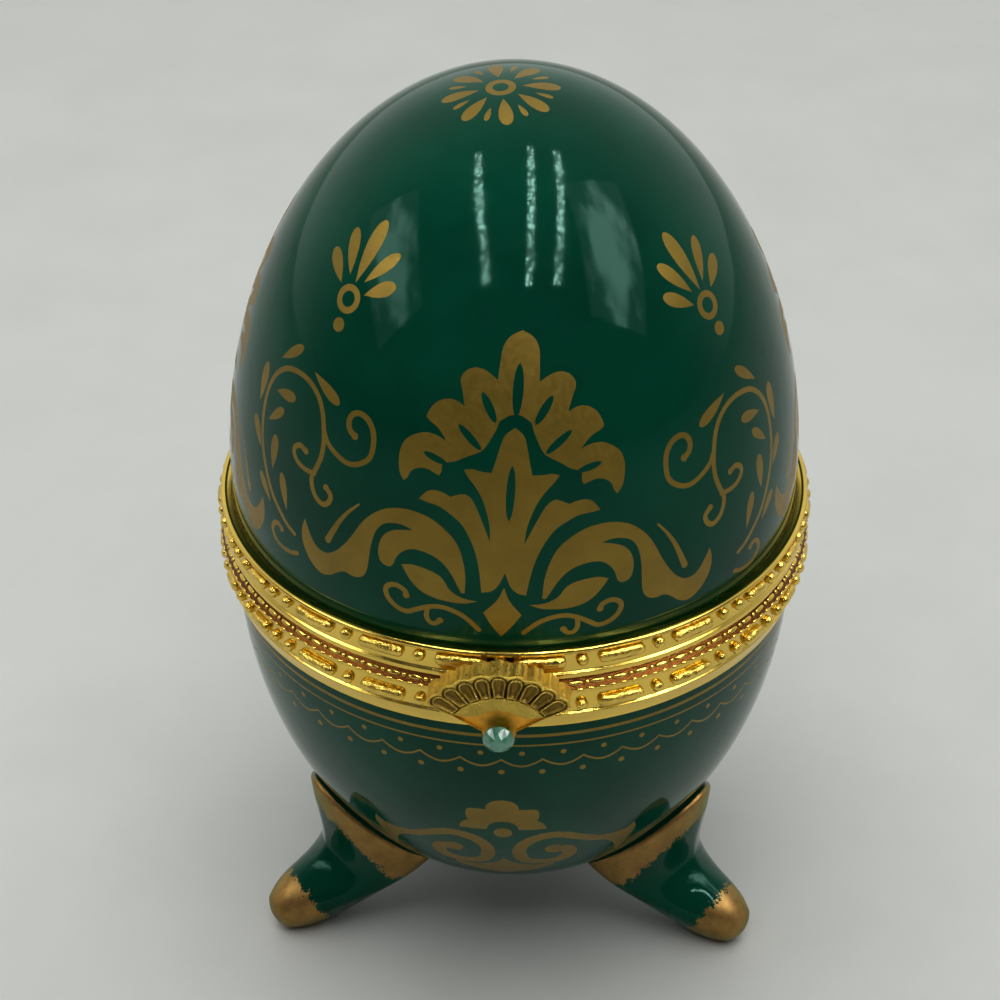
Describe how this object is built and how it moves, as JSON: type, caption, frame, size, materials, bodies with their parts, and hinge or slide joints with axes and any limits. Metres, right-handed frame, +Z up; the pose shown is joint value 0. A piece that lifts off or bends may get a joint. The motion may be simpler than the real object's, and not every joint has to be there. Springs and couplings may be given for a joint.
{
  "type": "hinged egg box",
  "caption": "Green porcelain egg box on splayed feet, hinged at gilt rims, with a fan clasp and a pale green stone.",
  "frame": {"origin": "on the table, under the middle of the box that bounds the part", "axes": "+Z up along the egg's axis, the clasp towards -Y and the hinge towards +Y"},
  "size_m": [0.074, 0.0816, 0.1157],
  "materials": {
    "glazed_porcelain": "deep green gloss glaze with matt gold ornament",
    "gilt_metal": "polished gilt",
    "green_stone": "faceted and polished"
  },
  "bodies": {
    "base": {"bowl_with_feet": "glazed_porcelain", "bowl_rim": "gilt_metal", "hinge_pin": "gilt_metal"},
    "lid": {"lid_dome": "glazed_porcelain", "lid_rim": "gilt_metal", "clasp_fan": "gilt_metal", "clasp_stone": "green_stone"}
  },
  "joints": [
    {"name": "lid_hinge", "type": "hinge", "parent": "base", "child": "lid", "pos_m": [0, 0.0396, 0.05685], "axis": [-1, 0, 0], "range_deg": [0, 95]}
  ]
}
